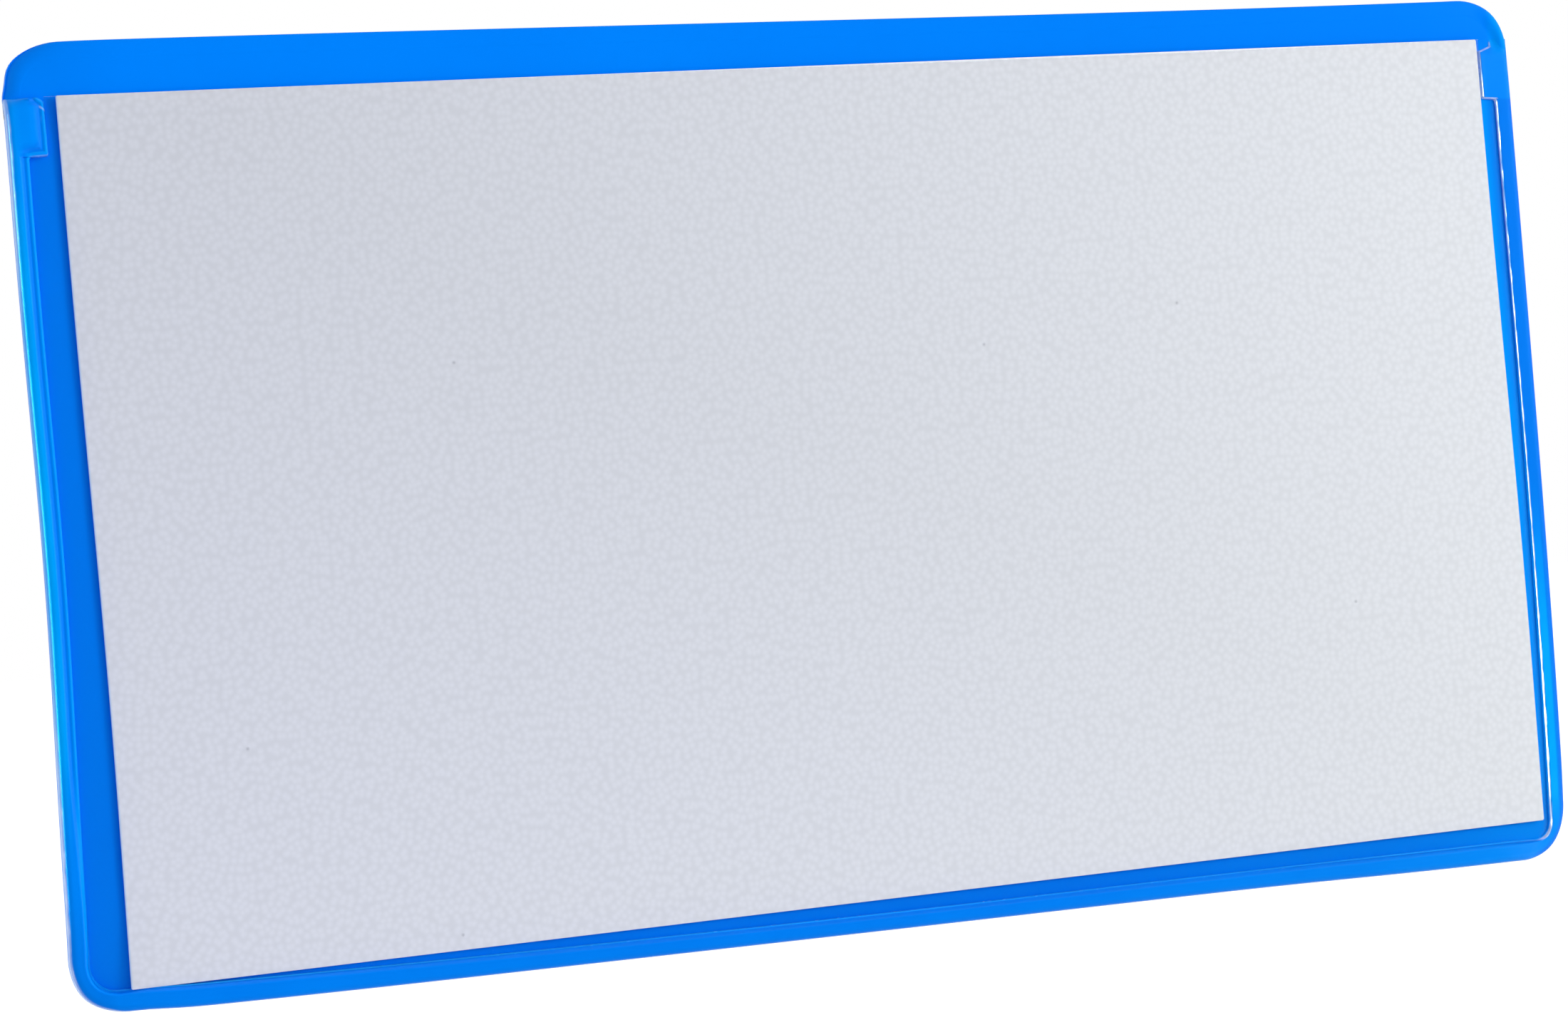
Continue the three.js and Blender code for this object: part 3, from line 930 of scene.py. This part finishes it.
def seam_place(x, z, inner_gap, outer_gap, end_gap):
    """Where the seam's points lie: their gaps, and their shares of its sides, stretches, tabs and waves."""
    at = SimpleNamespace(x=x, z=z, inner=inner_gap, outer=outer_gap, end=end_gap)
    at.rise = z + HALF_HEIGHT
    at.left, at.right = sides(x, *SIDE_MARK)
    at.bottom = (1 - at.left) * (1 - at.right)
    at.slow, at.quick = ripple(z, *SLOW_WAVE), ripple(z + x, *QUICK_WAVE)
    height = np.where(x < 0, TAB_HEIGHT[-1], TAB_HEIGHT[1])
    at.foot = mouth_height(x) - height
    at.tab = smooth(-TAB_BLEND, TAB_BLEND, z - at.foot)
    at.lower_tab = 1 - smooth(*LOWER_TAB, (z - at.foot) / height)
    at.upper = at.left * smooth(*EDGE_UPPER, z)
    at.lower = at.left * (1 - smooth(*EDGE_LOWER, z))
    at.swell = bell(z, *EDGE_SWELL)
    at.low, at.mid = smooth(*LOW_RIGHT, -z), smooth(*MID_RIGHT, -z)
    at.arc = 1 - smooth(*ARC_RIGHT, at.rise)
    at.crest = smooth(*CREST_RIGHT, z)
    at.start = weighted(FLANK_START, at) * MM
    at.thin = at.bottom * band(inner_gap, *THIN_LINE)
    at.foot_line = at.left * bell(z, at.foot, FOOT_LINE_REACH) * band(inner_gap, *FOOT_LINE)
    at.foot_line *= smooth(*FOOT_LINE_START, x + HALF_WIDTH)
    return at


def pale_edge_and_highlight_share(at):
    """Share of the pale tone: the clear film's own cut edge on the left, partly painted highlight, and
    painted highlight lines and spots on the right flank, the tabs and along the bottom.
    """
    edge = weighted(EDGE_WIDTH, at) * MM
    inside = EDGE_INSIDE * (1 - smooth(EDGE_INSIDE_START * edge, edge, at.outer))
    lines = bell(at.outer, edge, EDGE_LINE_REACH) * weighted(EDGE_LINE, at) + 1 - smooth(*EDGE_RIM, at.outer)
    film_edge = weighted(EDGE_PALE, at) * np.maximum(inside, EDGE_LINE_PALE * lines)
    flank = band(at.inner, at.start, at.start + weighted(FLANK_WIDTH, at) * MM, FLANK_SOFT)
    flank = flank * smooth(*FLANK_FOOT, at.rise) * weighted(FLANK_PALE, at)
    tab_line = band(at.inner, *TAB_LINE) * weighted(TAB_LINE_PALE, at) * smooth(*TAB_LINE_TOP, at.end)
    tab_line = tab_line * (1 - TAB_LINE_FOOT * bell(at.z, at.foot, TAB_LINE_FOOT_REACH))
    white = at.right * (flank * (1 - at.tab) + tab_line * at.tab)
    spots = smooth(*SPOT_CLIP, ripple(at.z * SPOT_SLANT + at.x, *SPOT_WAVE)) * bell(at.end, *SPOT_PLACE)
    spots = SPOT_PALE * at.left * at.tab * spots * band(at.inner, *SPOT_BAND)
    rim = BOTTOM_RIM_PALE * at.bottom * (1 - smooth(*BOTTOM_RIM, at.outer))
    return highest(film_edge, white, spots, FOOT_LINE_PALE * at.foot_line, THIN_LINE_PALE * at.thin + rim)


def painted_light_share(at):
    """Share of painted light on the beads, ridges, tab flat, crowns, the right step's wall, the run-out and
    thin lines.
    """
    bead = at.left * smooth(*BEAD_LOWER, at.z) * (1 - BEAD_UPPER_FADE * smooth(*BEAD_UPPER, at.z))
    bead = bead * (1 - smooth(*BEAD_CROWN, at.outer)) * weighted(BEAD_BRIGHT, at)
    ridge = RIDGE_BRIGHT * at.left * band(at.inner, *RIDGE_BAND)
    tab_flat = TAB_FLAT_BRIGHT * at.left * at.tab * smooth(*TAB_FLAT, at.inner)
    lines = highest(FOOT_LINE_BRIGHT * at.foot_line, THIN_LINE_BRIGHT * at.thin)
    crown = CROWN_BRIGHT * band(at.inner, *CROWN_BAND) * smooth(*CROWN_LOWER, -at.z)
    crown = crown * smooth(*CROWN_FOOT, at.rise) * (1 - at.tab)
    crown = at.right * (crown + TAB_TOP_BRIGHT * at.tab * smooth(*TAB_TOP, at.end))
    wall = 1 - smooth(WALL_START * at.start, at.start, at.inner)
    wall = WALL_BRIGHT * at.right * (1 - at.tab) * at.mid * wall
    run_out = band(at.outer, *RUN_OUT_BAND) * (1 - smooth(*RUN_OUT_FADE, at.end))
    run_out = RUN_OUT_BRIGHT * at.right * at.tab * run_out
    return highest(bead, ridge, tab_flat, lines, crown, wall, run_out)


def painted_shade_share(at):
    """Share of painted shade: in the groove, the tab's shade, on the outer and lower sides and over the
    upper right.
    """
    groove = GROOVE_DEEP * at.left * band(at.inner, *GROOVE_BAND) * smooth(*GROOVE_RUN, at.z)
    outer_side = OUTER_SIDE_DEEP * at.right * (1 - at.tab) * (1 - smooth(*OUTER_SIDE, at.outer))
    tab_shade = TAB_SHADE_DEEP * at.left * at.tab * band(at.inner, *TAB_SHADE)
    upper_right = RIGHT_DEEP * at.right * (1 - at.tab) * (1 - at.low)
    lower_left = LEFT_FOOT_DEEP * at.left * (1 - smooth(*LEFT_FOOT, at.z))
    return highest(groove + outer_side, tab_shade, upper_right, lower_left, BOTTOM_DEEP * at.bottom)


def build_seam(material):
    """The welded rim, section by section along its path."""
    outer, inner = seam_path()
    rows = []
    for out_point, in_point in zip(outer, inner):
        run = out_point - in_point
        width = np.hypot(*run)
        fit = min(1.0, width / SEAM_WIDTH)
        first, last = INNER_COLUMNS * fit, width - OUTER_COLUMNS * fit
        middle = np.linspace(first[-1], last[0], MIDDLE_COLUMNS + 2)[1:-1]
        share = np.concatenate([first, middle, last]) / width
        rows.append(in_point + share[:, None] * run)
    columns = len(rows[0])
    flat = np.concatenate(rows)
    x, z = flat.T
    inner_gap, outer_gap = gap_to_line(flat, inner), gap_to_rim(flat)
    end_gap = np.maximum(mouth_height(x) - z, 0)
    bare = smooth(*BARE_RUN, -end_gap)
    ground = PANEL_FRONT + round_over(outer_gap, LIP_WIDTH, lip_drop(x)) * bare * (x < 0)
    top = np.c_[x, ground - seam_height(x, z, inner_gap, outer_gap, end_gap), z]
    top = top.reshape(len(rows), columns, 3)
    ground = ground.reshape(len(rows), columns) + SEAM_SINK
    inner_foot = np.c_[inner[:, 0], ground[:, 0], inner[:, 1]][:, None]
    outer_foot = np.c_[outer[:, 0], ground[:, -1], outer[:, 1]][:, None]
    points = np.concatenate([inner_foot, top, outer_foot], axis=1).reshape(-1, 3)
    count = columns + 2
    faces = strips_of_faces(len(rows), count, True)
    faces += [tuple(range(count)), tuple(range(len(points) - count, len(points)))]
    at = seam_place(x, z, inner_gap, outer_gap, end_gap)
    # Marks for the pale tone, the painted light and the painted shade
    marks = {}
    for mark, share in (("pale", pale_edge_and_highlight_share), ("painted_light", painted_light_share), ("painted_shade", painted_shade_share)):
        grid = np.clip(share(at), 0, 1).reshape(len(rows), columns)
        marks[mark] = np.concatenate([grid[:, :1], grid, grid[:, -1:]], axis=1).ravel()
    make_piece("weld_rim", soften(points), faces, material, "pocket", ["weld_seam"], marks)


# Window, sheet, magnets and tape


def inner_reach(z, side):
    """Distance from the middle to the seam's inner edge at a height."""
    straight = HALF_WIDTH - seam_width(z, side, False)
    radius = INNER_RADIUS[side]
    level = HALF_HEIGHT - SEAM_WIDTH - radius
    drop = np.clip(-level - z, 0, radius)
    return straight - radius + np.sqrt(radius**2 - drop**2)


def window_grid(bottom):
    """Rows of (x, z) points over the window, close at its border and at the right tab's foot."""
    foot = 1 - TAB_HEIGHT[1] / (MOUTH[1] - bottom)
    levels = joined(
        (0, 0.04, 22),
        (0.05, foot - 0.01, 60),
        (foot - 0.008, foot + 0.012, 36),
        (foot + 0.016, 0.99, 12),
        (0.991, 1, 12),
    )
    across = joined((0, 0.03, 14), (0.04, 0.96, 70), (0.97, 1, 14))
    grid = []
    for level in levels:
        z_left = bottom + level * (MOUTH[-1] - bottom)
        z_right = bottom + level * (MOUTH[1] - bottom)
        x_left = -inner_reach(z_left, -1) - WINDOW_OVERLAP
        x_right = inner_reach(z_right, 1) + WINDOW_OVERLAP
        grid.append(np.c_[x_left + across * (x_right - x_left), z_left + across * (z_right - z_left)])
    return np.concatenate(grid), len(levels), across


def window_roll(flat, bottom, from_left, from_right):
    """How far the window dips towards the panel along its border."""
    border_gap = np.minimum(from_left, flat[:, 1] - bottom)
    roll = ROLL * (1 - smooth(0, ROLL_REACH, border_gap))
    tab = smooth(*WINDOW_TAB_RUN, flat[:, 1] - MOUTH[1] + TAB_HEIGHT[1])
    reach = ROLL_REACH_RIGHT + (ROLL_REACH_TAB - ROLL_REACH_RIGHT) * tab
    return np.maximum(roll, ROLL_RIGHT * (1 - smooth(0, reach, from_right)))


def build_window(material):
    """The clear window: two sheets of points joined round their rim."""
    bottom = SEAM_WIDTH - SEAM_PINCH - HALF_HEIGHT
    flat, rows, across = window_grid(bottom)
    columns = len(across)
    from_left, from_right = (np.tile(share * 2 * HALF_WIDTH, rows) for share in (across, 1 - across))
    wave = WINDOW_WAVE * ripple(flat[:, 0], *WINDOW_WAVE_ACROSS) * ripple(flat[:, 1], *WINDOW_WAVE_UP)
    behind = SHEET_LOW.y - WINDOW_PLAY + window_roll(flat, bottom, from_left, from_right) - np.abs(wave)
    back = np.c_[flat[:, 0], behind, flat[:, 1]]
    front = np.c_[flat[:, 0], behind - WINDOW_THICKNESS, flat[:, 1]]
    points = np.concatenate([back, front])
    base = len(back)
    sheet = strips_of_faces(rows, columns, False)
    faces = sheet + [tuple(base + i for i in face) for face in sheet]
    last = (rows - 1) * columns
    rim = list(range(columns)) + [row * columns + columns - 1 for row in range(1, rows)]
    rim += [last + i for i in range(columns - 2, -1, -1)]
    rim += [row * columns for row in range(rows - 2, 0, -1)]
    for a, b in zip(rim, rim[1:] + rim[:1]):
        faces.append((a, b, base + b, base + a))
    cut_edge = np.concatenate([np.zeros(last), np.full(columns, WINDOW_CUT_TONE)])
    marks = {"cut_edge": np.concatenate([cut_edge, cut_edge])}
    points = soften(points, WINDOW_CURL_SHARE)
    make_piece("window_film", points, faces, material, "pocket", ["front_window"], marks)


def build_sheet(material):
    """The sheet, whose own size comes from its box and its tilt, which is the slide's."""
    lean, upright = abs(SLIDE_AXIS.x), SLIDE_AXIS.z
    box = SHEET_HIGH - SHEET_LOW
    scale = upright**2 - lean**2
    width = (box.x * upright - box.z * lean) / scale
    height = (box.z * upright - box.x * lean) / scale
    middle = (SHEET_LOW + SHEET_HIGH) / 2
    half_depth = SHEET_THICKNESS / 2
    middle.y = SHEET_LOW.y + SHEET_SINK + half_depth

    def depth(x, z, inset, side):
        ease = round_over(inset, SHEET_EDGE_EASE, SHEET_EDGE_EASE) if side < 0 else 0
        return side * (half_depth - ease)

    rear = SHEET_EDGE_LEAN, SHEET_CORNER
    points, faces = slab(width / 2, height / 2, SHEET_CORNER, SHEET_CELLS, rear, SHEET_RINGS, depth)
    # Painted bluish light along the sheet's left edge, as named point values
    marks = {"rim": 1 - smooth(0, SHEET_CORNER, width / 2 + points[:, 0])}
    points[:, 0] += SHEET_BOW * bell(points[:, 2], *SHEET_BOW_PLACE)
    along = np.array([SLIDE_AXIS.z, 0, -SLIDE_AXIS.x])
    up = np.array(SLIDE_AXIS)
    back = np.array([0, 1, 0])
    placed = np.array(middle) + points[:, :1] * along + points[:, 2:] * up + points[:, 1:2] * back
    make_piece("card_sheet", placed, faces, material, "sheet", ["insert_sheet"], marks)


def middle_and_half(node):
    """Middle and half size of a CAD node's box."""
    low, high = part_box(node)
    return np.array((low + high) / 2), (high - low) / 2


def build_strip(name, node, material):
    """A magnetic strip with fine lengthwise lines on its rear face."""
    middle, half = middle_and_half(node)

    def depth(x, z, inset, side):
        lines = STRIP_LINE_DEPTH * (0.5 + 0.5 * np.cos(2 * math.pi * z / STRIP_LINE_PITCH))
        return side * (half.y - round_over(inset, STRIP_EDGE_EASE, STRIP_EDGE_EASE) - lines * (side > 0))

    points, faces = slab(half.x, half.z, STRIP_CORNER, STRIP_CELLS, STRIP_RINGS, STRIP_RINGS, depth)
    make_piece(name, points + middle, faces, material, "pocket", [node])


def build_tape(name, node, material, seed):
    """A piece of tape with slightly ragged edges."""
    middle, half = middle_and_half(node)

    def depth(x, z, inset, side):
        return side * (half.y - round_over(inset, TAPE_EDGE_EASE, TAPE_EDGE_EASE))

    points, faces = slab(half.x, half.z, TAPE_CORNER, TAPE_CELLS, TAPE_RINGS, TAPE_RINGS, depth)
    points[:, 2] += TAPE_RAGGED * ripple(points[:, 0], TAPE_WAVE_ALONG, seed) * np.sign(points[:, 2])
    points[:, 0] += TAPE_RAGGED * ripple(points[:, 2], TAPE_WAVE_ACROSS, seed + 1) * np.sign(points[:, 0])
    make_piece(name, points + middle, faces, material, "pocket", [node])


# Studio


def build_camera():
    """The photograph's camera."""
    turn, lift = math.radians(CAMERA_AZIMUTH), math.radians(CAMERA_ELEVATION)
    back = Vector((math.sin(turn) * math.cos(lift), -math.cos(turn) * math.cos(lift), math.sin(lift)))
    data = bpy.data.cameras.new("camera")
    data.sensor_width = SENSOR_WIDTH
    data.lens = SENSOR_WIDTH * FOCAL_PIXELS / FRAME_PIXELS
    data.clip_start = CAMERA_CLIP
    camera = show("camera", data)
    camera.location = CAMERA_AIM + back * CAMERA_DISTANCE
    level = (-back).to_track_quat("-Z", "Y")
    camera.rotation_mode = "QUATERNION"
    camera.rotation_quaternion = level @ Quaternion((0, 0, 1), math.radians(CAMERA_ROLL))
    bpy.context.scene.camera = camera


def build_lamp(name, place, aim, size, power, colour=(1, 1, 1)):
    """A rectangular soft lamp that the camera doesn't see."""
    data = bpy.data.lights.new(name, "AREA")
    data.shape = "RECTANGLE"
    data.size, data.size_y = size
    data.energy = power
    data.color = colour
    lamp = show(name, data)
    lamp.location = place
    lamp.rotation_euler = (Vector(aim) - Vector(place)).to_track_quat("-Z", "Z").to_euler()
    lamp.visible_camera = False
    return lamp


def shown_rays(tree):
    """1 for the rays that show the background: camera, glossy and transmission rays."""
    path = add(tree, "ShaderNodeLightPath").outputs
    total = path["Is Camera Ray"]
    for ray in ("Is Glossy Ray", "Is Transmission Ray"):
        either = add(tree, "ShaderNodeMath", {0: total, 1: path[ray]}, operation="MAXIMUM")
        total = either.outputs["Value"]
    return total


def build_world():
    """Soft fill, stronger from the right, behind a background that shows white."""
    world = bpy.data.worlds.new("studio")
    world.use_nodes = True
    tree = world.node_tree
    way = add(tree, "ShaderNodeTexCoord").outputs["Generated"]
    across = add(tree, "ShaderNodeSeparateXYZ", {"Vector": way}).outputs["X"]
    limits = {"From Min": -1.0, "To Min": WORLD_FILL - WORLD_GRADE, "To Max": WORLD_FILL + WORLD_GRADE}
    grade = add(tree, "ShaderNodeMapRange", {"Value": across, **limits}).outputs["Result"]
    soft = tree.nodes["Background"]
    fill(tree, soft, {"Color": WORLD_TONE, "Strength": grade})
    white = add(tree, "ShaderNodeBackground", {"Color": (1, 1, 1, 1)})
    both = soft.outputs["Background"], white.outputs["Background"]
    fill(tree, tree.nodes["World Output"], {"Surface": mixed_shader(tree, shown_rays(tree), *both)})
    bpy.context.scene.world = world


def build_floor():
    """Wide pale floor under the pocket, lifted to white for the camera, with the shadow kept."""
    bm = bmesh.new()
    bmesh.ops.create_circle(bm, cap_ends=True, segments=FLOOR_SEGMENTS, radius=FLOOR_RADIUS)
    mesh = bpy.data.meshes.new("floor")
    bm.to_mesh(mesh)
    bm.free()
    material, tree, shader = start_material("pale_floor")
    tree.nodes.remove(shader)
    matt = add(tree, "ShaderNodeBsdfDiffuse", {"Color": FLOOR_TONE}).outputs["BSDF"]
    lift = span(tree, shown_rays(tree), 0.0, FLOOR_GLOW)
    glow = add(tree, "ShaderNodeEmission", {"Strength": lift}).outputs["Emission"]
    both = add(tree, "ShaderNodeAddShader", {0: matt, 1: glow}).outputs["Shader"]
    fill(tree, tree.nodes["Material Output"], {"Surface": both})
    mesh.materials.append(material)
    floor = show("floor", mesh)
    floor.location = (0, 0, -HALF_HEIGHT - FLOOR_DROP)


def main():
    """All pieces, the camera and the studio."""
    build_panel(blue_film())
    build_seam(blue_weld())
    build_window(clear_film())
    build_sheet(white_paper())
    rubber = magnet_rubber()
    tissue = tape_tissue()
    for seed, level in enumerate(("upper", "lower"), TAPE_SEED):
        build_strip(f"magnet_rubber_{level}", f"magnet_strip_{level}", rubber)
        build_tape(f"tape_tissue_{level}", f"adhesive_tape_{level}", tissue, seed)
    build_camera()
    build_world()
    build_floor()
    key = build_lamp("key", **KEY_LAMP, colour=KEY_COLOUR)
    key.visible_glossy = False
    build_lamp("edge", **EDGE_LAMP)
    glint = build_lamp("glint", **GLINT_LAMP)
    glint.visible_diffuse = False
    bpy.context.scene.view_settings.view_transform = "Standard"


main()
